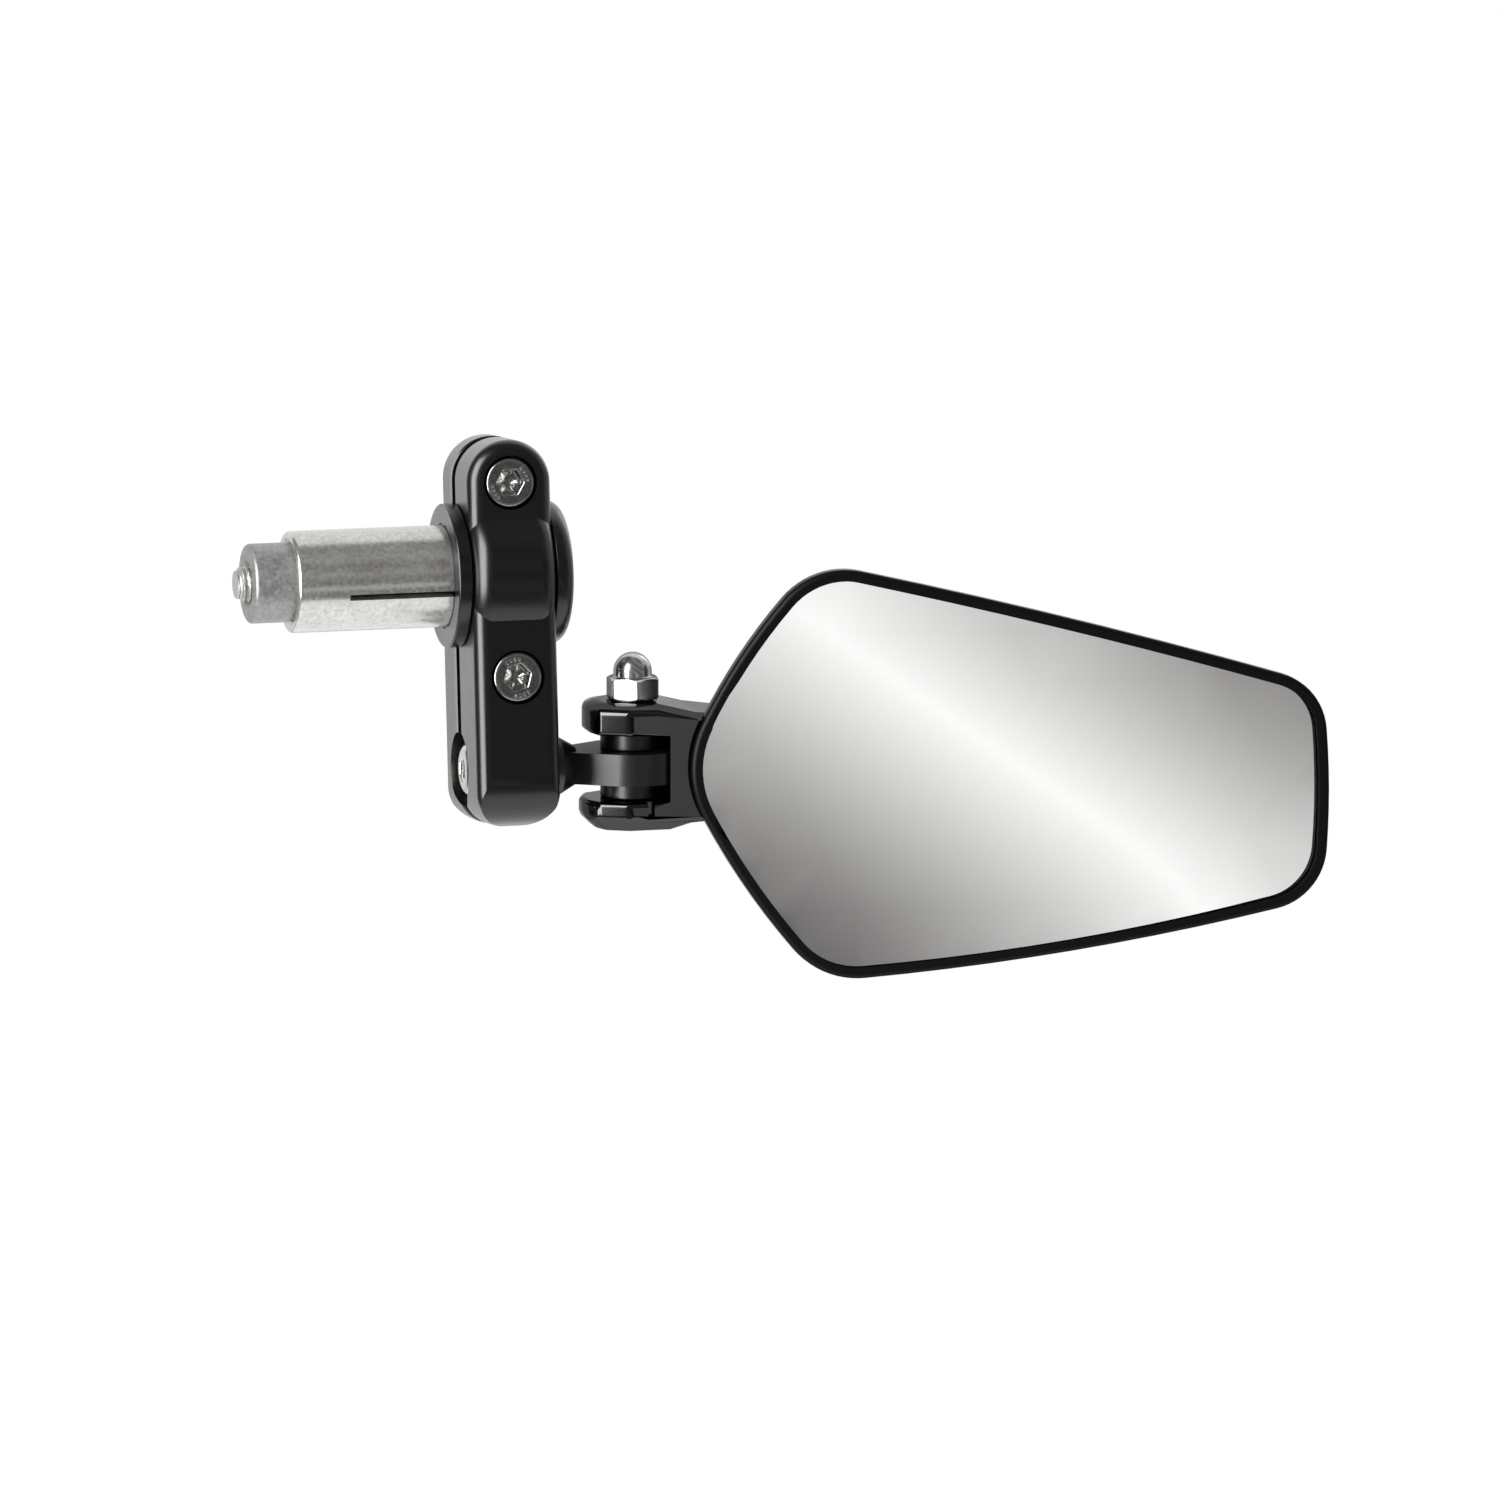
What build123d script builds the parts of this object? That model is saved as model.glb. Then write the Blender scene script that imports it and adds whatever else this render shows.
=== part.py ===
from build123d import *
import os
from math import cos, radians, sin, sqrt, tan

# Motorcycle bar end mirror: an expanding handlebar plug, a split clamp round the plug's spool,
# a swivel arm held in the clamp, and a mirror head that folds on the eye of the arm.
# Millimetres. X is the handlebar's axis and points outboard, Z is up, and the rider looks along +Y.
# The origin is the centre of the flange face that meets the end of the handlebar.

# Clearances
running_gap = 0.05
seat_gap = 0.05
screw_gap = 0.05
side_play = 0.1
loose_gap = 0.3
overcut = 1.0

# Shares and small rounds common to the screws and washers
screw_tip_share = 0.12
socket_share = 0.55
washer_round = 0.2

# Expanding plug in the handlebar
sleeve_diameter = 17.0
sleeve_wall = 2.0
sleeve_length = 26.5
sleeve_mouth = 0.8
sleeve_mouth_round = 0.6
slit_count = 3
slit_width = 1.0
slit_length = 17.8
slit_turn = 11.4
nose_length = 14.0
nose_rise = 0.4
nose_fall = 1.0
wedge_rise = 0.15
wedge_fall = 0.8
wedge_land = 6.1
wedge_taper = 8.0
wedge_round = 0.7
wedge_countersink = 0.9
plug_bolt_diameter = 6.0
plug_bolt_tip = 2.0
plug_head_diameter = 10.0
plug_head_height = 6.0
plug_head_recess = 0.5
plug_head_round = 0.6
plug_hex = 5.0
plug_washer_diameter = 10.4
plug_washer_thickness = 1.2

# Spool that carries the clamp
flange_diameter = 24.0
flange_thickness = 2.3
flange_round = 0.3
flange_relief = 0.3
journal_diameter = 18.0
outer_flange_thickness = 3.3
outer_flange_round = 2.4
counterbore_round = 0.4

# Split clamp
clamp_width = 14.2
clamp_wall = 5.15
barrel_inset = 0.1
barrel_round = 3.0
clamp_round = 2.2
clamp_lean = 6.0
lug_depth = 10.4
arm_depth = 12.3
split_gap = 3.2
split_chamfer = 0.3
upper_screw_reach = 6.65
lower_screw_reach = 7.55
swivel_drop = 15.9
foot_wall = 3.0
foot_round = 6.0
foot_nose = 8.6

# Clamp screws
clamp_screw_diameter = 5.0
clamp_head_diameter = 8.5
clamp_head_height = 5.0
clamp_head_recess = 0.3
clamp_head_round = 0.5
clamp_hex = 4.0
clamp_thread_depth = 5.8
clamp_hole_spare = 0.6

# Swivel arm
swivel_journal_diameter = 8.0
swivel_journal_round = 0.3
collar_diameter = 9.6
collar_length = 2.7
collar_slope = 2.6
neck_width = 6.6
hinge_reach = 15.4
eye_diameter = 17.2
eye_thickness = 5.3
neck_overlap = 1.7
flank_angle = 30.0
swivel_bolt_diameter = 5.0
swivel_bolt_grip = 10.0
swivel_head_diameter = 9.5
swivel_head_height = 2.75
swivel_head_round = 2.0
swivel_head_recess = 0.45
swivel_hex = 3.6
swivel_washer_thickness = 1.0
swivel_washer_overhang = 1.2

# Folding hinge
hinge_bolt_diameter = 5.0
hinge_head_diameter = 8.5
hinge_head_height = 2.6
hinge_head_round = 0.4
hinge_hex = 3.0
spring_washer_thickness = 0.6
bush_wall = 0.95
spacer_diameter = 10.8
spacer_thickness = 2.9
spacer_round = 0.3
nut_across_flats = 8.0
nut_height = 3.8
nut_turn = 28.6
nut_bevel = 0.5
dome_diameter = 6.4
dome_straight = 0.85
dome_wall = 1.6
bolt_end_gap = 0.5

# Ears of the mirror housing round the hinge
upper_ear = 5.2
lower_ear = 5.1
ear_half_depth = 8.0
upper_ear_reach = 8.2
lower_ear_reach = 8.7
ear_end_half = 2.2
ear_facet_x = 7.4
ear_facet_half = 5.4
ear_flank_start = 2.4
ear_top_bevel_height = 1.0
ear_top_bevel = 2.0
ear_bottom_bevel = 2.2
slot_clearance = 0.6
strap_start = 2.6
strap_run = 6.8
strap_drop = 1.75
keel_start = 5.1
keel_run = 3.3
keel_rise = 1.2
neck_shoulder = 6.0
neck_length = 40.0
neck_height = 12.0
neck_sink = 2.5
notch_width = 1.1
notch_depth = 1.2
notch_height = 2.8
notch_place = 1.3

# Mirror housing and glass, outline measured from the hinge axis
tip_x = 6.1
tip_z = -0.3
crest_x = 29.5
crest_z = 34.0
end_x = 116.3
end_top_z = 9.8
end_bottom_z = -26.1
keel_x = 30.5
keel_z = -36.8
tip_round = 16.8
crest_round = 13.6
end_top_round = 10.8
end_bottom_round = 10.7
keel_round = 14.8
upper_left_bow = 2.3
top_bow = 0.9
end_bow = 1.2
bottom_bow = 1.9
lower_left_bow = 1.9
rim_front = 10.0
rim_width = 1.8
rim_wall = 2.6
rim_round = 0.8
shell_depth = 11.5
shell_draft = 20.0
shell_crown_radius = 260.0
shell_back_round = 2.0
glass_gap = 0.15
glass_recess = 0.3
glass_thickness = 3.2
glass_curve_radius = 1200.0
pad_thickness = 0.8
pad_inset = 3.0

# Places that follow from the sizes above
sleeve_bore = sleeve_diameter / 2 - sleeve_wall
sleeve_left = -sleeve_length
plug_hole = plug_bolt_diameter / 2 + loose_gap
clamp_left = flange_thickness + side_play
clamp_right = clamp_left + clamp_width
clamp_middle = (clamp_left + clamp_right) / 2
outer_flange_left = clamp_right + side_play
spool_right = outer_flange_left + outer_flange_thickness
clamp_bore = journal_diameter / 2 + running_gap
barrel_radius = clamp_bore + clamp_wall
upper_screw_z = clamp_bore + upper_screw_reach
lower_screw_z = -clamp_bore - lower_screw_reach
swivel_z = lower_screw_z - swivel_drop
swivel_y = split_gap / 2
swivel_washer_radius = swivel_head_diameter / 2 + swivel_washer_overhang
pocket_radius = swivel_washer_radius + loose_gap + side_play
foot_z = swivel_z - pocket_radius - foot_wall
pocket_floor = clamp_left + swivel_head_recess + swivel_head_height + swivel_washer_thickness
swivel_seat = pocket_floor - seat_gap
hinge_x = clamp_right + hinge_reach
bush_outer = hinge_bolt_diameter / 2 + running_gap + bush_wall
plug_seat = spool_right - plug_head_recess - plug_head_height
plug_washer_seat = plug_seat - seat_gap - plug_washer_thickness
slot_height = eye_thickness + 2 * (spacer_thickness + seat_gap)
slot_radius = eye_diameter / 2 + slot_clearance
ear_top = slot_height / 2 + upper_ear
ear_bottom = -slot_height / 2 - lower_ear
hinge_seat = ear_bottom + hinge_head_height + spring_washer_thickness
rim_y = -rim_front
glass_y = rim_y + glass_recess
pad_y = glass_y + glass_thickness
pocket_y = pad_y + pad_thickness
shell_back_y = rim_y + shell_depth
head_middle_x = (tip_x + end_x) / 2
head_middle_z = (crest_z + keel_z) / 2
nut_bore_depth = nut_height + dome_straight + dome_diameter / 2 - dome_wall
far = 300.0

# Turns the clamp's own frame about the handlebar axis, so that its foot leans towards the rider
clamp_frame = Rot(-clamp_lean, 0, 0)
swivel_place = clamp_frame * Pos(0, swivel_y, swivel_z)
arm_frame = Pos(0, swivel_place.position.Y, swivel_place.position.Z)
head_frame = arm_frame * Pos(hinge_x, 0, 0)


def turned(corners):
    """Solid of revolution about X from its half section: (place along X, radius, corner round)."""
    line = FilletPolyline(*[(along, radius) for along, radius, _ in corners],
                          radius=[corner for _, _, corner in corners], close=True)
    return revolve(make_face(line), Axis.X)


def rod(radius, start, end):
    """Plain round bar about X between two places."""
    return Pos((start + end) / 2, 0, 0) * Rot(0, 90, 0) * Cylinder(radius, end - start)


def upright(shape):
    """Turns a part made along X so that it stands along Z."""
    return Rot(0, -90, 0) * shape


def socket_screw(diameter, length, head_diameter, head_height, head_round, hex_size):
    """Hex socket screw along X with its head's seat at the origin and its shank towards +X."""
    shank, head = diameter / 2, head_diameter / 2
    tip = diameter * screw_tip_share
    body = turned([(-head_height, 0, 0), (-head_height, head, head_round), (0, head, 0), (0, shank, 0),
                   (length - tip, shank, 0), (length, shank - tip, 0), (length, 0, 0)])
    hexagon = Plane.YZ * RegularPolygon(hex_size / 2, 6, major_radius=False)
    return body - Pos(-head_height, 0, 0) * extrude(hexagon, head_height * socket_share)


def ring(outer, inner, thickness, corner=0.0):
    """Washer along X from the origin, with its outer edges rounded."""
    return turned([(0, inner, 0), (0, outer, corner), (thickness, outer, corner), (thickness, inner, 0)])


def expander_sleeve():
    """Tube in the handlebar: slit from the flange end and opened by the cone of the spool's nose."""
    outer = sleeve_diameter / 2
    tube = turned([(sleeve_left, sleeve_bore + sleeve_mouth, 0), (sleeve_left, outer, sleeve_mouth_round),
                   (0, outer, 0), (0, sleeve_bore, 0),
                   (sleeve_left + sleeve_mouth, sleeve_bore, 0)])
    tube -= nose_cone(seat_gap)
    slit = Box(slit_length, slit_width, sleeve_diameter, align=(Align.MAX, Align.CENTER, Align.MIN))
    for index in range(slit_count):
        tube -= Rot(90 + slit_turn + index * 360 / slit_count, 0, 0) * slit
    return tube


def nose_cone(growth):
    """Cone of the spool's nose, grown all round by a gap."""
    return turned([(0, 0, 0), (0, sleeve_bore + nose_rise + growth, 0),
                   (-nose_length, sleeve_bore - nose_fall + growth, 0), (-nose_length, 0, 0)])


def wedge_start():
    """Place where the wedge nut's taper begins, so that it just fits the mouth of the sleeve."""
    slope = (wedge_rise + wedge_fall) / wedge_taper
    return sleeve_left + sleeve_mouth - (wedge_rise + seat_gap) / slope


def wedge_nut():
    """Tapered nut that the plug bolt draws into the open end of the sleeve."""
    start = wedge_start()
    hole = plug_bolt_diameter / 2 + screw_gap
    land = sleeve_bore + wedge_rise
    end = start - wedge_land
    return turned([(end + wedge_countersink, hole, 0), (end, hole + wedge_countersink, 0),
                   (end, land, wedge_round), (start, land, 0),
                   (start + wedge_taper, sleeve_bore - wedge_fall, 0), (start + wedge_taper, hole, 0)])


def plug_bolt():
    """Long socket screw from the spool's outer end through to the wedge nut."""
    length = plug_seat - wedge_start() + wedge_land + plug_bolt_tip
    screw = socket_screw(plug_bolt_diameter, length, plug_head_diameter, plug_head_height,
                         plug_head_round, plug_hex)
    return Pos(plug_seat, 0, 0) * Rot(0, 0, 180) * screw


def plug_washer():
    """Plain washer under the head of the plug bolt."""
    washer = ring(plug_washer_diameter / 2, plug_hole, plug_washer_thickness, washer_round)
    return Pos(plug_washer_seat, 0, 0) * washer


def spool():
    """Turned carrier: nose in the sleeve, flange on the bar's end, journal for the clamp, outer flange."""
    flange, journal = flange_diameter / 2, journal_diameter / 2
    counterbore = max(plug_head_diameter, plug_washer_diameter) / 2 + loose_gap
    nose, relief = sleeve_bore + nose_rise, sleeve_diameter / 2 + loose_gap
    return turned([(-nose_length, plug_hole, 0), (-nose_length, sleeve_bore - nose_fall, 0),
                   (0, nose, 0), (flange_relief, nose, 0), (flange_relief, relief, 0), (0, relief, 0),
                   (0, flange, flange_round), (flange_thickness, flange, flange_round),
                   (flange_thickness, journal, 0), (outer_flange_left, journal, 0),
                   (outer_flange_left, flange, flange_round),
                   (spool_right, flange, outer_flange_round), (spool_right, counterbore, counterbore_round),
                   (plug_washer_seat, counterbore, 0), (plug_washer_seat, plug_hole, 0)])


def softened(block):
    """Rounds the front and back edges of a clamp block."""
    faces = block.faces().sort_by(Axis.Y)
    return fillet(faces[0].edges() + faces[-1].edges(), clamp_round)


def clamp_block():
    """Whole clamp before it is split: lug above the spool, arm below it, barrel round the bore."""
    lug_outline = Pos(clamp_middle, upper_screw_z / 2) * Rectangle(clamp_width, upper_screw_z)
    lug_outline += Pos(clamp_middle, upper_screw_z) * Circle(clamp_width / 2)
    arm_outline = Pos(clamp_middle, foot_z / 2) * Rectangle(clamp_width, -foot_z)
    arm_outline = fillet(arm_outline.vertices().group_by(Axis.Y)[0], foot_round)
    lug = softened(extrude(Plane.XZ * lug_outline, lug_depth, both=True))
    arm_side = Pos(0, foot_z / 2) * Rectangle(2 * arm_depth, -foot_z)
    arm_side = fillet(arm_side.vertices().group_by(Axis.Y)[0], foot_nose)
    arm = softened(extrude(Plane.XZ * arm_outline, arm_depth, both=True))
    arm &= extrude(Plane.YZ * arm_side, far, both=True)
    start, end = clamp_left + barrel_inset, clamp_right - barrel_inset
    barrel = turned([(start, 0, 0), (start, barrel_radius, barrel_round), (end, barrel_radius, barrel_round),
                     (end, 0, 0)])
    return lug + arm + barrel


def clamp_bores():
    """Everything that is bored along X through both halves: spool, swivel journal and head pocket."""
    swivel = Pos(0, swivel_y, swivel_z)
    start, end = clamp_left - overcut, clamp_right + overcut
    bores = rod(clamp_bore, start, end)
    bores += swivel * rod(swivel_journal_diameter / 2 + running_gap, start, end)
    return bores + swivel * rod(pocket_radius, start, pocket_floor)


def clamp_screw_places():
    """Seat of each clamp screw's head and its height: the lug's screw first, then the arm's."""
    sunk = clamp_head_height + clamp_head_recess
    return [(sunk - lug_depth, upper_screw_z), (sunk - arm_depth, lower_screw_z)]


def clamp_front():
    """Half of the clamp towards the rider, with counterbores for the screw heads."""
    half = clamp_block() & Pos(0, -far / 2, 0) * Box(far, far, far)
    half = chamfer(half.faces().sort_by(Axis.Y)[-1].edges(), split_chamfer) - clamp_bores()
    for seat, height in clamp_screw_places():
        place = Pos(clamp_middle, seat, height) * Rot(0, 0, 90)
        half -= place * rod(clamp_screw_diameter / 2 + loose_gap, -far, far)
        half -= place * rod(clamp_head_diameter / 2 + loose_gap, -far, 0)
    return clamp_frame * half


def clamp_rear():
    """Half of the clamp away from the rider, threaded for the screws."""
    half = clamp_block() & Pos(0, split_gap + far / 2, 0) * Box(far, far, far)
    half = chamfer(half.faces().sort_by(Axis.Y)[0].edges(), split_chamfer) - clamp_bores()
    for _, height in clamp_screw_places():
        place = Pos(clamp_middle, split_gap, height) * Rot(0, 0, 90)
        depth = clamp_thread_depth + clamp_hole_spare
        half -= place * rod(clamp_screw_diameter / 2 + screw_gap, -split_gap, depth)
    return clamp_frame * half


def clamp_screws():
    """The two clamp screws, upper first, with their heads towards the rider."""
    screws = []
    for seat, height in clamp_screw_places():
        length = split_gap + clamp_thread_depth - seat
        screw = socket_screw(clamp_screw_diameter, length, clamp_head_diameter, clamp_head_height,
                             clamp_head_round, clamp_hex)
        screws.append(clamp_frame * Pos(clamp_middle, seat, height) * Rot(0, 0, 90) * screw)
    return screws


def swivel_arm():
    """Arm with a round journal in the clamp, a collar on its face and a flat eye for the hinge."""
    journal, collar, neck = swivel_journal_diameter / 2, collar_diameter / 2, neck_width / 2
    eye = eye_diameter / 2
    collar_start = clamp_right + seat_gap
    slope_start = clamp_right + collar_length
    slope_end = slope_start + collar_slope
    neck_end = hinge_x - eye + neck_overlap
    shaft = turned([(swivel_seat, 0, 0), (swivel_seat, journal, swivel_journal_round),
                    (collar_start, journal, 0), (collar_start, collar, 0), (slope_start, collar, 0),
                    (slope_end, neck, 0), (neck_end, neck, 0), (neck_end, 0, 0)])
    flank = radians(flank_angle)
    touch_x, touch_y = -eye * sin(flank), eye * cos(flank)
    root_x = touch_x - (touch_y - neck) / tan(flank)
    plan = Polygon((root_x, -neck), (touch_x, -touch_y), (0, -touch_y), (0, touch_y),
                   (touch_x, touch_y), (root_x, neck), align=None) + Circle(eye)
    plate = Pos(hinge_x, 0, 0) * extrude(plan, eye_thickness / 2, both=True)
    round_end = max(slope_end, hinge_x + root_x)
    flats = Box(far, far, eye_thickness, align=(Align.MIN, Align.CENTER, Align.CENTER))
    round_part = Box(far, far, far, align=(Align.MAX, Align.CENTER, Align.CENTER))
    arm = (shaft & Pos(round_end, 0, 0) * round_part) + (shaft & Pos(round_end, 0, 0) * flats) + plate
    arm -= Pos(hinge_x, 0, 0) * Cylinder(bush_outer + seat_gap, far)
    hole_end = swivel_seat + swivel_bolt_grip + overcut
    arm -= rod(swivel_bolt_diameter / 2 + screw_gap, swivel_seat - overcut, hole_end)
    return arm_frame * arm


def swivel_bolt():
    """Button head screw in the journal's end, which holds the arm in the clamp."""
    length = swivel_bolt_grip + swivel_washer_thickness
    screw = socket_screw(swivel_bolt_diameter, length, swivel_head_diameter, swivel_head_height,
                         swivel_head_round, swivel_hex)
    return arm_frame * Pos(swivel_seat - swivel_washer_thickness, 0, 0) * screw


def swivel_washer():
    """Washer between the button head and the end of the journal, in the clamp's pocket."""
    hole = swivel_bolt_diameter / 2 + loose_gap
    washer = ring(swivel_washer_radius, hole, swivel_washer_thickness, washer_round)
    return arm_frame * Pos(swivel_seat - swivel_washer_thickness, 0, 0) * washer


def hinge_bush():
    """Plain bush in the eye, in which the hinge bolt turns."""
    bush = ring(bush_outer, hinge_bolt_diameter / 2 + running_gap, eye_thickness, washer_round)
    return head_frame * Pos(0, 0, -eye_thickness / 2) * upright(bush)


def spacer(bottom):
    """Friction washer between the eye and an ear."""
    hole = hinge_bolt_diameter / 2 + loose_gap
    washer = ring(spacer_diameter / 2, hole, spacer_thickness, spacer_round)
    return head_frame * Pos(0, 0, bottom) * upright(washer)


def hinge_bolt():
    """Low head screw up through both ears, with its head sunk in the lower one."""
    length = ear_top + nut_bore_depth - bolt_end_gap - hinge_seat + spring_washer_thickness
    screw = socket_screw(hinge_bolt_diameter, length, hinge_head_diameter, hinge_head_height,
                         hinge_head_round, hinge_hex)
    return head_frame * Pos(0, 0, hinge_seat - spring_washer_thickness) * upright(screw)


def hinge_spring_washer():
    """Spring washer under the hinge bolt's head, which keeps the fold stiff."""
    washer = ring(hinge_head_diameter / 2, hinge_bolt_diameter / 2 + loose_gap, spring_washer_thickness)
    return head_frame * Pos(0, 0, hinge_seat - spring_washer_thickness) * upright(washer)


def acorn_nut():
    """Domed nut on the upper ear: bevelled hexagon, round dome and a blind hole."""
    dome = dome_diameter / 2
    corner = nut_across_flats / sqrt(3)
    flats = RegularPolygon(nut_across_flats / 2, 6, major_radius=False, rotation=nut_turn)
    bevel = upright(turned([(0, 0, 0), (0, corner - nut_bevel, 0), (nut_bevel, corner, 0),
                            (nut_height - nut_bevel, corner, 0), (nut_height, corner - nut_bevel, 0),
                            (nut_height, 0, 0)]))
    nut = extrude(flats, nut_height) & bevel
    nut += Pos(0, 0, nut_height + dome_straight / 2) * Cylinder(dome, dome_straight)
    nut += Pos(0, 0, nut_height + dome_straight) * Sphere(dome, -90, 90)
    hole = hinge_bolt_diameter / 2 + screw_gap
    nut -= Cylinder(hole, nut_bore_depth, align=(Align.CENTER, Align.CENTER, Align.MIN))
    return head_frame * Pos(0, 0, ear_top) * nut


def head_outline():
    """Outline of the mirror head in X and Z: five bowed sides with rounded corners."""
    corners = [(tip_x, tip_z), (keel_x, keel_z), (end_x, end_bottom_z), (end_x, end_top_z),
               (crest_x, crest_z)]
    rounds = [tip_round, keel_round, end_bottom_round, end_top_round, crest_round]
    bows = [lower_left_bow, bottom_bow, end_bow, top_bow, upper_left_bow]
    sides = []
    for index, bow in enumerate(bows):
        start, end = Vector(*corners[index]), Vector(*corners[(index + 1) % len(corners)])
        along = (end - start).normalized()
        outward = Vector(along.Y, -along.X)
        sides.append(ThreePointArc(start, (start + end) * 0.5 + outward * bow, end))
    outline = make_face(sides)
    for corner, radius in zip(corners, rounds):
        vertex = outline.vertices().sort_by_distance((*corner, 0))[0]
        outline = fillet(vertex, radius)
    return outline


def inset_outline(inset):
    """The head's outline moved inward: each of its arcs keeps its centre and loses the inset in radius."""
    arcs = []
    for edge in head_outline().edges():
        points = [edge @ share for share in (0, 0.5, 1)]
        moved = [point + (edge.arc_center - point).normalized() * inset for point in points]
        arcs.append(ThreePointArc(*moved))
    return make_face(arcs)


def at_depth(outline, y):
    """An outline drawn in X and Z, set at a depth along Y."""
    return Pos(0, y, 0) * (Plane.XZ * outline)


def slab(outline, front, back):
    """An outline extruded along Y from its front depth to its back depth."""
    return extrude(at_depth(outline, front), back - front, dir=(0, 1, 0))


def crown_ball(radius, touch_y, facing):
    """Large ball that touches a depth over the middle of the head, and faces along Y or against it."""
    return Pos(head_middle_x, touch_y - facing * radius, head_middle_z) * Sphere(radius)


def shell():
    """Housing round the glass: straight rim, drafted walls and a crowned back."""
    outline = head_outline()
    draft_start = rim_y + rim_wall
    inset = (shell_back_y - draft_start) * tan(radians(shell_draft))
    rim = slab(outline, rim_y, draft_start)
    walls = loft([at_depth(outline, draft_start), at_depth(inset_outline(inset), shell_back_y)], ruled=True)
    body = (rim + walls) & crown_ball(shell_crown_radius, shell_back_y, 1)
    crown = body.faces().sort_by(Axis.Y)[-1]
    body = fillet(crown.edges(), shell_back_round)
    return fillet(body.faces().sort_by(Axis.Y)[0].edges(), rim_round)


def ear_plan(reach):
    """Plan of the hinge end: a faceted nose round the hinge and a neck that runs into the shell."""
    return Polygon((neck_length, -ear_half_depth), (-ear_flank_start, -ear_half_depth),
                   (-ear_facet_x, -ear_facet_half), (-reach, -ear_end_half), (-reach, ear_end_half),
                   (-ear_facet_x, ear_facet_half), (-ear_flank_start, ear_half_depth),
                   (neck_shoulder, ear_half_depth), (neck_length, shell_back_y - neck_sink), align=None)


def bevelled(plan, edge, height, inward):
    """Prism from the middle of the hinge to an edge's height, with that edge bevelled."""
    shoulder = edge - height if edge > 0 else edge + height
    prism = extrude(plan, abs(shoulder), dir=(0, 0, shoulder))
    narrowed = offset(plan, -inward, kind=Kind.INTERSECTION)
    return prism + loft([Pos(0, 0, shoulder) * plan, Pos(0, 0, edge) * narrowed], ruled=True)


def side_prism():
    """Side view of the hinge end, which steps down to the shell, with its upper edges bevelled."""
    middle = (ear_top - strap_drop + ear_bottom + keel_rise) / 2
    side = Polygon((-neck_length, ear_top), (strap_start, ear_top),
                   (strap_start + strap_run, ear_top - strap_drop),
                   (neck_length, middle + neck_height / 2), (neck_length, middle - neck_height / 2),
                   (keel_start + keel_run, ear_bottom + keel_rise), (keel_start, ear_bottom),
                   (-neck_length, ear_bottom), align=None)
    prism = extrude(Plane.XZ * side, ear_half_depth, both=True)
    front = prism.faces().sort_by(Axis.Y)[0]
    upper = [edge for edge in front.edges() if edge.center().Z > middle + neck_height / 2]
    return chamfer(upper, ear_top_bevel_height, ear_top_bevel, reference=front)


def ear_block():
    """Hinge end of the housing: both ears and the neck, cut to their side view."""
    upper = bevelled(ear_plan(upper_ear_reach), ear_top, ear_top_bevel_height, ear_top_bevel)
    lower = bevelled(ear_plan(lower_ear_reach), ear_bottom, ear_bottom_bevel, ear_bottom_bevel)
    return (upper + lower) & side_prism()


def mirror_housing():
    """Shell and hinge ears in one casting, with the glass pocket, hinge slot and bolt holes."""
    housing = shell() + ear_block()
    housing -= slab(inset_outline(rim_width), rim_y - overcut, pocket_y)
    slot = Cylinder(slot_radius, slot_height)
    slot += Box(far, far, slot_height, align=(Align.MAX, Align.CENTER, Align.CENTER))
    housing -= slot
    housing -= Cylinder(hinge_bolt_diameter / 2 + screw_gap, far)
    sunk = hinge_seat - ear_bottom
    housing -= Pos(0, 0, ear_bottom + sunk / 2) * Cylinder(hinge_head_diameter / 2 + loose_gap, sunk)
    notch = Box(notch_width, 2 * notch_depth, notch_height, align=(Align.CENTER, Align.CENTER, Align.MAX))
    housing -= Pos(notch_place, -ear_half_depth, -slot_height / 2) * notch
    return head_frame * housing


def mirror_glass():
    """Convex mirror glass inside the rim."""
    outline = inset_outline(rim_width + glass_gap)
    glass = slab(outline, glass_y, pad_y) & crown_ball(glass_curve_radius, glass_y, -1)
    return head_frame * glass


def glass_pad():
    """Adhesive pad between the glass and the floor of its pocket."""
    return head_frame * slab(inset_outline(rim_width + pad_inset), pad_y, pocket_y)


os.makedirs("parts", exist_ok=True)
upper_clamp_screw, lower_clamp_screw = clamp_screws()
nodes = {
    "expander_sleeve": expander_sleeve(),
    "wedge_nut": wedge_nut(),
    "plug_bolt": plug_bolt(),
    "plug_washer": plug_washer(),
    "spool": spool(),
    "clamp_front": clamp_front(),
    "clamp_rear": clamp_rear(),
    "clamp_screw_upper": upper_clamp_screw,
    "clamp_screw_lower": lower_clamp_screw,
    "swivel_arm": swivel_arm(),
    "swivel_bolt": swivel_bolt(),
    "swivel_washer": swivel_washer(),
    "hinge_bush": hinge_bush(),
    "upper_spacer": spacer(eye_thickness / 2),
    "lower_spacer": spacer(-eye_thickness / 2 - spacer_thickness),
    "hinge_bolt": hinge_bolt(),
    "hinge_spring_washer": hinge_spring_washer(),
    "acorn_nut": acorn_nut(),
    "mirror_housing": mirror_housing(),
    "glass_pad": glass_pad(),
    "mirror_glass": mirror_glass(),
}
for name, shape in nodes.items():
    export_step(shape, f"parts/{name}.step")
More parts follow.
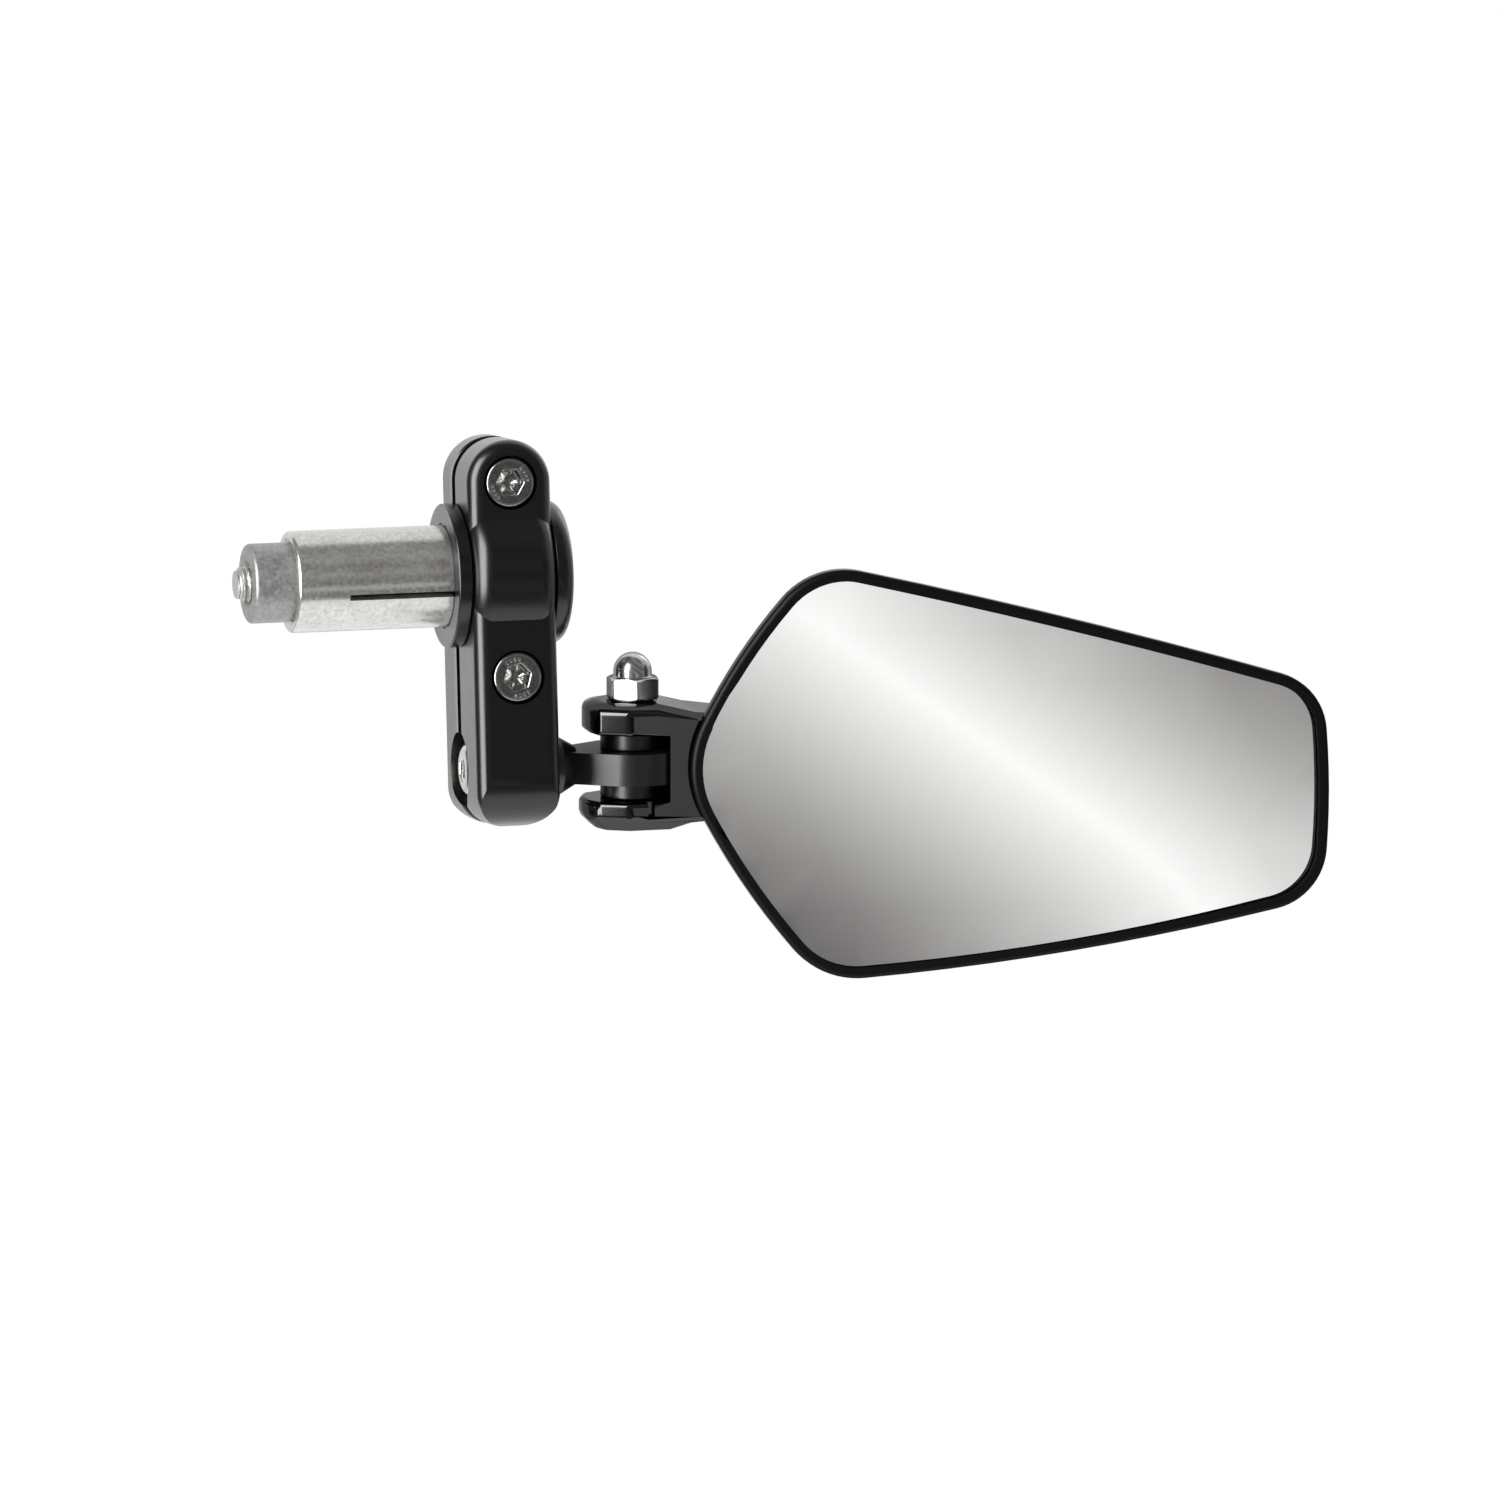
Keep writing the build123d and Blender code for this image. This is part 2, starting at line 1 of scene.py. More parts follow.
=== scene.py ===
import bmesh
import bpy
import math
import numpy as np
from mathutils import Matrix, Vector


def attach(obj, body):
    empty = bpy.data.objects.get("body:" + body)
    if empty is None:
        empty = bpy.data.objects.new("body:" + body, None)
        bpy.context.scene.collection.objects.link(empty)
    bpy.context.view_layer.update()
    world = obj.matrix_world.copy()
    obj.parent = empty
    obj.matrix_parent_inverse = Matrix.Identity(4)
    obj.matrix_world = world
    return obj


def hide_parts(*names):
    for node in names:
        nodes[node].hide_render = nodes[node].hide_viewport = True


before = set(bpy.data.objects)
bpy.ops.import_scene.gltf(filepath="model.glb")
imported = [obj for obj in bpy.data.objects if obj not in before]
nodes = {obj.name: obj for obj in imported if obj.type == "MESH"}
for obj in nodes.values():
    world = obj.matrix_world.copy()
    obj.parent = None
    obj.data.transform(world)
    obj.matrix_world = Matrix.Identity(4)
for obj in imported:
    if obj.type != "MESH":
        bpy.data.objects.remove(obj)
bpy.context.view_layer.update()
MM = 0.001
TURN = 2 * math.pi

# Places of the part in millimetres, as the CAD has them, and the lean of the clamp
SWIVEL = np.array([0.0, -1.806, -32.489])
HINGE = np.array([32.0, -1.806, -32.489])
PLUG_SEAT = (13.5, 0, 0)
CLAMP_MIDDLE = 9.5
LEAN = math.radians(6.0)

# Hinge ears in millimetres: where they end along X, the round on their edges, the shortest edge that gets it
EAR_END = 46.5
EAR_ROUND = 0.8
LONG_EDGE = 1.3

# Faces that meet at a greater angle than these have a crease between them, on CAD copies and on turned pieces
CREASE = math.radians(24)
TURNED_CREASE = math.radians(32)

# Raised ticks on the faces of the clamp screws: height in millimetres, half width, and angles round the face
TICK_HEIGHT = 0.12
TICK_WIDTH = math.radians(3.2)
TICKS = np.radians([-22, -8, 6, 20, 158, 172, 186, 200])

# The blasted rim of the shell in millimetres along Y, from fully dull to fully glossy
RIM_DULL = -10.9
RIM_GLOSSY = -10.4

WHITE = (1, 1, 1, 1)


# Mesh surfaces

def hexagon(angle, across_flats, sharpness=60.0):
    """Radius of a hexagon at each angle: the p-norm of its six face directions.

    A high p, the sharpness, keeps the corners crisp.
    """
    faces = np.arange(6) * math.pi / 3
    reach = np.maximum(np.cos(angle[..., None] - faces), 0.0)
    return across_flats / 2 / (reach ** sharpness).sum(axis=-1) ** (1 / sharpness)


def frame_of(origin, axis, side):
    """Rows are the side, up and axis directions of a local frame in the part's frame, with its origin."""
    axis = np.asarray(axis, float) / np.linalg.norm(axis)
    side = np.asarray(side, float) - axis * np.dot(side, axis)
    side = side / np.linalg.norm(side)
    return np.asarray(origin, float), np.stack([side, np.cross(axis, side), axis])


def turned_piece(name, rows, angle, place):
    """Closed surface from rows of radius and height over one turn: (r cos t, r sin t, h) in the local frame.

    A radius or height is one number for the whole turn, or an array over it. The first and last rows lie on
    the axis; each becomes one point, so both poles and the seam are closed.
    """
    origin, basis = place
    steps = len(angle)
    radius = np.stack([np.broadcast_to(row[0], steps) for row in rows])
    height = np.stack([np.broadcast_to(row[1], steps) for row in rows])
    ring = np.stack([radius * np.cos(angle), radius * np.sin(angle), height], axis=-1)
    points = np.concatenate([ring[:1, 0], ring[1:-1].reshape(-1, 3), ring[-1:, 0]])
    index = 1 + np.arange((len(rows) - 2) * steps).reshape(-1, steps)
    turned = np.roll(index, -1, axis=1)
    walls = np.stack([index[:-1], turned[:-1], turned[1:], index[1:]], axis=-1).reshape(-1, 4)
    start = np.stack([np.zeros(steps, int), turned[0], index[0]], axis=-1)
    end = np.stack([np.full(steps, len(points) - 1), index[-1], turned[-1]], axis=-1)
    return surface(name, (points @ basis + origin) * MM, walls, np.concatenate([start, end]))


def surface(name, points, quads, triangles):
    """Mesh object of points in metres with quads and triangles, shaded smooth up to its creases."""
    mesh = bpy.data.meshes.new(name)
    mesh.vertices.add(len(points))
    mesh.vertices.foreach_set("co", points.ravel())
    corners = np.concatenate([quads.ravel(), triangles.ravel()])
    mesh.loops.add(len(corners))
    mesh.loops.foreach_set("vertex_index", corners)
    totals = np.concatenate([np.full(len(quads), 4), np.full(len(triangles), 3)])
    mesh.polygons.add(len(totals))
    mesh.polygons.foreach_set("loop_start", np.concatenate([[0], np.cumsum(totals)[:-1]]))
    mesh.polygons.foreach_set("use_smooth", np.ones(len(totals), bool))
    mesh.update(calc_edges=True)
    mesh.validate()
    mesh.set_sharp_from_angle(angle=TURNED_CREASE)
    return linked(name, mesh)


def linked(name, data):
    """Object of a mesh, lamp or camera, linked to the scene."""
    made = bpy.data.objects.new(name, data)
    bpy.context.scene.collection.objects.link(made)
    return made


def dress(node, material):
    """Gives a CAD node's object its material."""
    nodes[node].data.materials.clear()
    nodes[node].data.materials.append(material)


def finish_piece(piece, body, material, node):
    """Gives a piece its material and its body; the CAD node that it stands for gets the same material and is
    hidden.
    """
    piece.data.materials.append(material)
    dress(node, material)
    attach(piece, body)
    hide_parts(node)


def screw_thread(angle, shank, length, bevel, pitch, run):
    """Rows of a thread: its crest minus a vee in frac(height / pitch - turn), faded at the ends."""
    rows_per_pitch = 16
    along = np.linspace(bevel * 0.3, run, int(rows_per_pitch * run / pitch))
    phase = np.mod(along[:, None] / pitch - angle / TURN, 1.0)
    vee = np.clip(0.62 * np.abs(2 * phase - 1.0) - 0.1, 0, 0.36) * pitch
    fade = np.clip(np.minimum(along / (0.4 * pitch), (run - along) / pitch), 0, 1)[:, None]
    crest = np.minimum(shank / 2, shank / 2 - bevel + 0.8 * along)[:, None]
    return list(zip(crest - vee * fade, along - length))


def socket_screw(name, place, shank, length, head, depth, crown, socket, sunk, thread=None, marks=()):
    """Socket screw along its axis from tip to head, as rows of radius and height over one turn.

    Tip: a 45 degree bevel, or the run-in of the thread. Head: a side, a rounded edge of the crown radius, a
    face with raised ticks, each exp(-(angle / width)^2), a bevelled hexagon, its wall and a drilled cone. The
    seat under the head is at height 0, the shank runs to -length and the face to depth.
    """
    angle = np.linspace(0, TURN, 192, endpoint=False)
    bevel = 0.12 * shank
    broken = 0.15
    rows = [(0, -length), (shank / 2 - bevel, -length)]
    if thread:
        pitch, run = thread
        rows += screw_thread(angle, shank, length, bevel, pitch, run)
    else:
        rows += [(shank / 2, bevel - length)]
    rows += [(shank / 2, -0.02), (head / 2 - broken, 0), (head / 2, broken)]

    # Rounded edge and face
    turn = np.linspace(0, math.pi / 2, 9)
    rise = min(crown, depth - 2 * broken)
    rows += list(zip(head / 2 - crown * (1 - np.cos(turn)), depth - rise * (1 - np.sin(turn))))
    rim = head / 2 - crown
    corner = socket / math.sqrt(3)
    inner = min(corner + 0.22, rim - 0.05)
    raised = sum(np.exp(-(((angle - mark + math.pi) % TURN - math.pi) / TICK_WIDTH) ** 2) for mark in marks)
    for part in np.linspace(0.06, 1, 14):
        lift = np.clip(1.6 * math.sin(math.pi * part) ** 2 - 0.25, 0, 1)
        rows.append((rim + (inner - rim) * part, depth + TICK_HEIGHT * lift * raised))

    # Bevel into the hexagon, its wall, its floor and the drilled cone
    wall = hexagon(angle, socket)
    lip = wall + 0.16
    floor = depth - sunk
    rows += [(0.5 * lip + 0.5 * np.minimum(lip, inner), depth - 0.02),
             (wall + 0.05, depth - 0.1),
             (wall, depth - 0.2),
             (wall, floor),
             (0.86 * wall, floor - 0.02),
             (0.4 * socket, floor - 0.25),
             (0.03, floor - 1.0),
             (0, floor - 1.0)]
    return turned_piece(name, rows, angle, place)


def dome_nut(name, place, across_flats, tall, dome, straight, turn):
    """Acorn nut: for each angle, the hexagon's radius cut by a cone above and below, then a dome.

    The cones leave the hexagon's faces with curved upper and lower edges. A hollow round leads up to a short
    straight side, and the dome is a quarter circle turned round.
    """
    angle = np.linspace(0, TURN, 240, endpoint=False)
    faces = hexagon(angle - turn, across_flats, sharpness=40.0)
    washer = across_flats / 2 - 0.12
    middle = 0.5 * (washer + faces)
    cut = (faces - washer) * math.tan(math.radians(30))
    eased = 0.03
    low = cut + 0.04
    shoulder = tall + straight
    rows = [(0, 0), (washer, 0), (middle, 0.5 * cut), (faces - eased, cut - 0.02), (faces, low)]
    rows += [(faces, low + (tall - 2 * low) * part) for part in np.linspace(0.1, 1, 8)]
    rows += [(faces - eased, tall - cut + 0.02), (middle, tall - 0.5 * cut), (washer, tall)]
    rows += [(dome + (washer - dome) * part ** 1.6, tall + 0.22 * (1 - part) ** 1.6)
             for part in (0.7, 0.4, 0.15, 0)]
    rows += [(dome, tall + straight * part) for part in (0.5, 1.0)]
    rise = np.linspace(0.06, math.pi / 2 - 0.02, 22)
    rows += list(zip(dome * np.cos(rise), shoulder + dome * np.sin(rise)))
    rows += [(0, shoulder + dome)]
    return turned_piece(name, rows, angle, place)


def ear_edges(shape):
    """Long outward edges of the hinge ears, which end inboard of the shell.

    Upright edges outboard of the hinge belong to the slot's end and the lower ear's notch, and stay crisp.
    """
    def on_ear(edge):
        first, last = (corner.co / MM for corner in edge.verts)
        upright = abs(first.z - last.z) > 0.9 * (first - last).length
        return max(first.x, last.x) < EAR_END and not (upright and first.x > HINGE[0])

    return [edge for edge in shape.edges if edge.is_convex and edge.calc_length() > LONG_EDGE * MM
            and edge.calc_face_angle(0.0) > CREASE and on_ear(edge)]


def eased_copy(node):
    """Copy of a CAD node, its doubles merged, smooth up to its creases; the housing's ears get rounded edges.

    The flat triangles of the housing are joined first, so that a round runs along whole edges.
    """
    name = node + "_eased"
    shape = bmesh.new()
    shape.from_mesh(nodes[node].data)
    bmesh.ops.remove_doubles(shape, verts=shape.verts, dist=0.002 * MM)
    if node == "mirror_housing":
        bmesh.ops.dissolve_limit(shape, angle_limit=math.radians(0.05), use_dissolve_boundaries=False,
                                 verts=shape.verts, edges=shape.edges, delimit={"NORMAL"})
        bmesh.ops.bevel(shape, geom=ear_edges(shape), offset=EAR_ROUND * MM, offset_type="OFFSET", segments=5,
                        profile=0.5, affect="EDGES", clamp_overlap=False)
    mesh = bpy.data.meshes.new(name)
    shape.to_mesh(mesh)
    shape.free()
    if "custom_normal" in mesh.attributes:
        mesh.attributes.remove(mesh.attributes["custom_normal"])
    mesh.materials.clear()
    mesh.shade_smooth()
    mesh.set_sharp_from_angle(angle=CREASE)
    piece = linked(name, mesh)
    weighted = piece.modifiers.new("shading", "WEIGHTED_NORMAL")
    weighted.weight = 100
    weighted.keep_sharp = True
    return piece


# Materials

def linear(hex_colour):
    """Linear RGBA of an sRGB hex colour."""
    value = np.array([int(hex_colour[i:i + 2], 16) for i in (1, 3, 5)]) / 255
    value = np.where(value <= 0.04045, value / 12.92, ((value + 0.055) / 1.055) ** 2.4)
    return (*value.tolist(), 1.0)


def add(tree, kind, inputs=None, **settings):
    """Adds a node with its settings; each input gets a value, a socket, or a node's first output in use."""
    made = tree.nodes.new(kind)
    for name, value in settings.items():
        setattr(made, name, value)
    for name, value in (inputs or {}).items():
        socket = made.inputs[name] if isinstance(name, int) else next(
            socket for socket in made.inputs if socket.name == name and socket.enabled)
        if isinstance(value, bpy.types.Node):
            value = next(output for output in value.outputs if output.enabled)
        if isinstance(value, bpy.types.NodeSocket):
            tree.links.new(value, socket)
        else:
            socket.default_value = value
    return made


def new_material(name):
    """An empty node material: the material and its tree."""
    material = bpy.data.materials.new(name)
    material.use_nodes = True
    material.node_tree.nodes.clear()
    return material, material.node_tree


def placed_material(name):
    """An empty node material with its Object coordinates."""
    material, tree = new_material(name)
    return material, tree, add(tree, "ShaderNodeTexCoord").outputs["Object"]


def close_material(tree, shader):
    """Links a shader to the tree's output."""
    add(tree, "ShaderNodeOutputMaterial", {"Surface": shader})


def coated_surface(tree, place, rough, grain, depth):
    """Gloss that drifts over 14 mm and a bump of fine grain, both as nodes.

    Real grain is under 0.1 mm; this one is a few tenths of a millimetre, as coarse as it needs to show.
    """
    peel = add(tree, "ShaderNodeTexNoise", {"Vector": place, "Scale": 1 / (grain * MM), "Detail": 2.0})
    cloud = add(tree, "ShaderNodeTexNoise", {"Vector": place, "Scale": 1 / (14 * MM), "Detail": 3.0})
    gloss = add(tree, "ShaderNodeMapRange", {
        "Value": cloud, "From Min": 0.3, "From Max": 0.7, "To Min": rough * 0.88, "To Max": rough * 1.14})
    bump = add(tree, "ShaderNodeBump", {"Height": peel, "Strength": 0.35, "Distance": depth * MM})
    return gloss, bump


def black_coating(name, colour, rough, clear, lacquer, grain, depth):
    """Black coat baked on aluminium: dark and semi-gloss, with a faint orange peel under a clear top coat."""
    material, tree, place = placed_material(name)
    gloss, bump = coated_surface(tree, place, rough, grain, depth)
    close_material(tree, add(tree, "ShaderNodeBsdfPrincipled", {
        "Base Color": linear(colour), "Roughness": gloss, "Normal": bump, "IOR": 1.5,
        "Specular IOR Level": 0.1, "Coat Weight": clear, "Coat Roughness": lacquer, "Coat Normal": bump}))
    return material


def black_metal(name, colour, edge, rough, grain, depth, rim=None):
    """Aluminium dyed black: an even sheen that stays dark on faces seen at a low angle, with a fine grain.

    The edge colour is the sheen at such an angle. A rim, given as its colour and roughness, is blasted, so it
    is darker and duller in front of the glass.
    """
    material, tree, place = placed_material(name)
    gloss, bump = coated_surface(tree, place, rough, grain, depth)
    tone = linear(colour)
    if rim:
        rim_colour, rim_rough = rim
        along = add(tree, "ShaderNodeSeparateXYZ", {"Vector": place}).outputs["Y"]
        behind = add(tree, "ShaderNodeMapRange", {
            "Value": along, "From Min": RIM_DULL * MM, "From Max": RIM_GLOSSY * MM})
        gloss = add(tree, "ShaderNodeMix", {"Factor": behind, "A": rim_rough, "B": gloss})
        tone = add(tree, "ShaderNodeMix", {"Factor": behind, "A": linear(rim_colour), "B": tone},
                   data_type="RGBA")
    close_material(tree, add(tree, "ShaderNodeBsdfPrincipled", {
        "Base Color": tone, "Metallic": 1.0, "Specular Tint": linear(edge), "Roughness": gloss,
        "Normal": bump}))
    return material


def dull_plate(name, dark, pale, metal, smooth, rough):
    """Zinc on turned steel: dull metal with fine dark mottling, bright specks and faint lathe lines.

    The mottling is 0.7 mm fine and 5 mm broad, and the lathe lines are 0.3 mm apart along the bar. The share
    of metal is under 1, because the dull film scatters some of the light.
    """
    material, tree, place = placed_material(name)
    fine = add(tree, "ShaderNodeTexNoise", {
        "Vector": place, "Scale": 1 / (0.7 * MM), "Detail": 5.0, "Roughness": 0.6})
    broad = add(tree, "ShaderNodeTexNoise", {"Vector": place, "Scale": 1 / (5 * MM), "Detail": 3.0})
    mottle = add(tree, "ShaderNodeMix", {"Factor": 0.25, "A": fine.outputs["Fac"], "B": broad.outputs["Fac"]})
    stretched = add(tree, "ShaderNodeMapping", {
        "Vector": place, "Scale": (1 / (0.3 * MM), 1 / (9 * MM), 1 / (9 * MM))})
    lathe = add(tree, "ShaderNodeTexNoise", {"Vector": stretched, "Scale": 1.0, "Detail": 2.0})
    tone = add(tree, "ShaderNodeValToRGB", {"Fac": mottle})
    for stop, position, colour in zip(tone.color_ramp.elements, (0.36, 0.64), (dark, pale)):
        stop.position = position
        stop.color = linear(colour)
    gloss = add(tree, "ShaderNodeMapRange", {
        "Value": mottle, "From Min": 0.36, "From Max": 0.66, "To Min": smooth, "To Max": rough})
    bump = add(tree, "ShaderNodeBump", {"Height": lathe, "Strength": 0.2, "Distance": 0.02 * MM})
    close_material(tree, add(tree, "ShaderNodeBsdfPrincipled", {
        "Base Color": tone, "Metallic": metal, "Roughness": gloss, "Normal": bump}))
    return material


def steel(name, colour, edge, rough, spread, grit):
    """Steel with a turned or plated surface: grey metal whose gloss varies over a grit in millimetres.

    The edge colour is its reflection on faces seen at a low angle.
    """
    material, tree, place = placed_material(name)
    noise = add(tree, "ShaderNodeTexNoise", {"Vector": place, "Scale": 1 / (grit * MM), "Detail": 4.0})
    gloss = add(tree, "ShaderNodeMapRange", {
        "Value": noise, "From Min": 0.3, "From Max": 0.7, "To Min": rough - spread, "To Max": rough + spread})
    bump = add(tree, "ShaderNodeBump", {"Height": noise, "Strength": 0.15, "Distance": 0.02 * MM})
    close_material(tree, add(tree, "ShaderNodeBsdfPrincipled", {
        "Base Color": linear(colour), "Metallic": 1.0, "Specular Tint": linear(edge), "Roughness": gloss,
        "Normal": bump}))
    return material


def hidden_filler(name, colour, rough):
    """Foam or bronze that is mostly hidden: one colour with a cloud of 0.8 mm in its gloss."""
    material, tree, place = placed_material(name)
    noise = add(tree, "ShaderNodeTexNoise", {"Vector": place, "Scale": 1 / (0.8 * MM), "Detail": 3.0})
    gloss = add(tree, "ShaderNodeMapRange", {"Value": noise, "To Min": rough * 0.8, "To Max": rough * 1.2})
    close_material(tree, add(tree, "ShaderNodeBsdfPrincipled", {
        "Base Color": linear(colour), "Roughness": gloss}))
    return material


def silvered_glass(name, colour, clean, hazy):
    """Float glass silvered at the back: a clean reflection, dimmed a little by a faint haze of 30 mm."""
    material, tree, place = placed_material(name)
    haze = add(tree, "ShaderNodeTexNoise", {"Vector": place, "Scale": 1 / (30 * MM), "Detail": 2.0})
    rough = add(tree, "ShaderNodeMapRange", {"Value": haze, "To Min": clean, "To Max": hazy})
    close_material(tree, add(tree, "ShaderNodeBsdfPrincipled", {
        "Base Color": linear(colour), "Metallic": 1.0, "Roughness": rough}))
    return material


# Studio

def studio_world():
    """White studio: the lens sees white, and gloss sees a pale room at the back and right with a dark front.

    The room is where both 0.47 x + 0.88 y - 0.24 z and 0.766 x + 0.643 y - 0.19 z are above 0, dimmer to the
    right and low down. In the dark front hang diagonal strips of light, with d the distance of s = 0.72 x + z
    from the nearest strip. One is bright, max(0, 1 - d / w) ^ 1.5, in a window that the convex glass shows
    from edge to edge; the others are faint.
    """
    strip_at = 0.008
    strip_width = 0.115
    half_spacing = 0.25
    faint_light = 0.25
    dark = (0.054, 0.046, 0.044, 1)
    plain = (0.95, 0.95, 0.95, 1)

    world = bpy.data.worlds.new("studio")
    bpy.context.scene.world = world
    world.use_nodes = True
    tree = world.node_tree
    tree.nodes.clear()
    direction = add(tree, "ShaderNodeTexCoord").outputs["Generated"]
    axes = add(tree, "ShaderNodeSeparateXYZ", {"Vector": direction})

    # Strips of light in the dark front
    across = add(tree, "ShaderNodeVectorMath", {0: direction, 1: (0.72, 0.0, 1.0)}, operation="DOT_PRODUCT")
    offset = add(tree, "ShaderNodeMath", {0: across, 1: strip_at}, operation="SUBTRACT")
    away = add(tree, "ShaderNodeMath", {0: offset, 1: half_spacing}, operation="PINGPONG")
    ridge = add(tree, "ShaderNodeMapRange", {
        "Value": away, "From Min": 0.0, "From Max": strip_width, "To Min": 1.0, "To Max": 0.0})
    strong = add(tree, "ShaderNodeMath", {0: ridge, 1: 1.5}, operation="POWER")
    faint = add(tree, "ShaderNodeMapRange", {
        "Value": away, "From Min": 0.0, "From Max": half_spacing, "To Min": faint_light, "To Max": 0.0})
    facing = add(tree, "ShaderNodeVectorMath", {0: direction, 1: (0.237, -0.957, -0.169)},
                 operation="DOT_PRODUCT")
    window = add(tree, "ShaderNodeMapRange", {"Value": facing, "From Min": 0.945, "From Max": 0.978})
    lit = add(tree, "ShaderNodeMix", {"Factor": window, "A": faint, "B": strong})
    front = add(tree, "ShaderNodeMix", {"Factor": lit, "A": dark, "B": WHITE}, data_type="RGBA")

    # Pale room at the back and right
    right = add(tree, "ShaderNodeVectorMath", {0: direction, 1: (0.47, 0.88, -0.24)}, operation="DOT_PRODUCT")
    left = add(tree, "ShaderNodeVectorMath", {0: direction, 1: (0.766, 0.643, -0.19)},
               operation="DOT_PRODUCT")
    both = add(tree, "ShaderNodeMath", {0: right, 1: left}, operation="MINIMUM")
    room = add(tree, "ShaderNodeMapRange", {"Value": both, "From Min": -0.06, "From Max": 0.1},
               interpolation_type="SMOOTHSTEP")
    deep = add(tree, "ShaderNodeMapRange", {
        "Value": axes.outputs["X"], "From Min": 0.4, "From Max": 0.75, "To Min": 1.0, "To Max": 0.5})
    foot = add(tree, "ShaderNodeMapRange", {
        "Value": axes.outputs["Z"], "From Min": -0.6, "From Max": 0.15, "To Min": 0.6})
    dim = add(tree, "ShaderNodeMath", {0: deep, 1: foot}, operation="MULTIPLY")
    pale = add(tree, "ShaderNodeMath", {0: room, 1: dim}, operation="MULTIPLY")
    gloss = add(tree, "ShaderNodeMix", {"Factor": pale, "A": front, "B": WHITE}, data_type="RGBA")

    # What each kind of ray sees
    path = add(tree, "ShaderNodeLightPath")
    seen = add(tree, "ShaderNodeMix", {"Factor": path.outputs["Is Glossy Ray"], "A": plain, "B": gloss},
               data_type="RGBA")
    shown = add(tree, "ShaderNodeMix", {"Factor": path.outputs["Is Camera Ray"], "A": seen, "B": WHITE},
                data_type="RGBA")
    background = add(tree, "ShaderNodeBackground", {"Color": shown, "Strength": 1.0})
    add(tree, "ShaderNodeOutputWorld", {"Surface": background})


def softbox(name, place, aim, width, height, radiance):
    """Area light of a stated radiance that faces a point: gloss shows it, and the room lights the colours."""
    lamp = bpy.data.lights.new(name, "AREA")
    lamp.shape = "RECTANGLE"
    lamp.size = width
    lamp.size_y = height
    lamp.energy = radiance * math.pi * width * height
    box = linked(name, lamp)
    box.location = place
    box.rotation_euler = (Vector(aim) - Vector(place)).to_track_quat("-Z", "Y").to_euler()
    box.visible_camera = False
    box.visible_diffuse = False


def studio_floor(middle, radius, height, colour):
    """Pale round floor well below the part, lifted to white for the lens, with the part's soft shadow."""
    corners = 96
    turn = np.linspace(0, TURN, corners, endpoint=False)
    rim = (middle + radius * np.cos(turn), radius * np.sin(turn), np.full(corners, height))
    points = np.stack(rim, axis=-1)
    mesh = bpy.data.meshes.new("floor")
    mesh.from_pydata(points.tolist(), [], [list(range(corners))])
    floor = linked("floor", mesh)
    material, tree = new_material("white_sweep")
    path = add(tree, "ShaderNodeLightPath")
    shown = add(tree, "ShaderNodeMath", {0: path.outputs["Is Camera Ray"], 1: 0.16}, operation="MULTIPLY")
    lift = add(tree, "ShaderNodeMath", {0: path.outputs["Is Glossy Ray"], 1: 0.4, 2: shown},
               operation="MULTIPLY_ADD")
    glow = add(tree, "ShaderNodeEmission", {"Color": WHITE, "Strength": lift})
    matt = add(tree, "ShaderNodeBsdfDiffuse", {"Color": linear(colour)})
    close_material(tree, add(tree, "ShaderNodeAddShader", {0: matt, 1: glow}))
    mesh.materials.append(material)


def photo_camera(aim, left, above, pixels_per_mm):
    """Long lens at the photograph's angle, degrees to the left and above, at its scale in 1500 pixels."""
    turn, rise = math.radians(left), math.radians(above)
    forward = Vector((math.sin(turn) * math.cos(rise), math.cos(turn) * math.cos(rise), -math.sin(rise)))
    lens = bpy.data.cameras.new("camera")
    lens.sensor_width = 36.0
    lens.lens = 1000.0
    lens.clip_start = 0.1
    lens.clip_end = 40.0
    distance = 1500 / pixels_per_mm * MM * lens.lens / lens.sensor_width
    camera = linked("camera", lens)
    camera.location = Vector(aim) - forward * distance
    camera.rotation_euler = forward.to_track_quat("-Z", "Y").to_euler()
    bpy.context.scene.camera = camera


bpy.context.scene.view_settings.view_transform = "Standard"
studio_world()
studio_floor(middle=0.05, radius=0.42, height=-0.30, colour="#f4f4f4")
photo_camera(aim=(0.0521, -0.002, -0.0312), left=13.9, above=9.75, pixels_per_mm=6.0)
softbox("left_softbox", (-0.729, -0.404, 0.22), aim=(0.03, 0, -0.02), width=0.66, height=1.1, radiance=10.0)
softbox("rear_softbox", (0.75, 0.6, 0.4), aim=(0.06, 0, -0.02), width=0.4, height=0.8, radiance=1.2)


# Finishes of this part

# Clamp and spool: a lacquered black with soft light along the rounded edges
clamp_black = black_coating("black_anodised_aluminium", "#040404", rough=0.36, clear=1.0, lacquer=0.27,
                            grain=0.35, depth=0.015)

# Shell of the head: polished before dyeing, so it mirrors the room darkly, with a blasted rim
shell_black = black_metal("black_dyed_aluminium", "#484848", "#b8b8b8", rough=0.11, grain=0.5, depth=0.006,
                          rim=("#242424", 0.5))

# Arm and spacers: blasted before dyeing, so their highlights are broad and soft
arm_black = black_metal("black_blasted_aluminium", "#484848", "#b8b8b8", rough=0.32, grain=0.25, depth=0.02)

# Sleeve: pale plate with bright bands along the bar; wedge nut: the same plate, greyer and duller from use
zinc = dull_plate("dull_zinc_plate", "#bcbbb8", "#dbdbd8", metal=0.78, smooth=0.17, rough=0.26)
wedge_zinc = dull_plate("weathered_zinc_plate", "#8c8c8b", "#adadac", metal=0.65, smooth=0.44, rough=0.54)

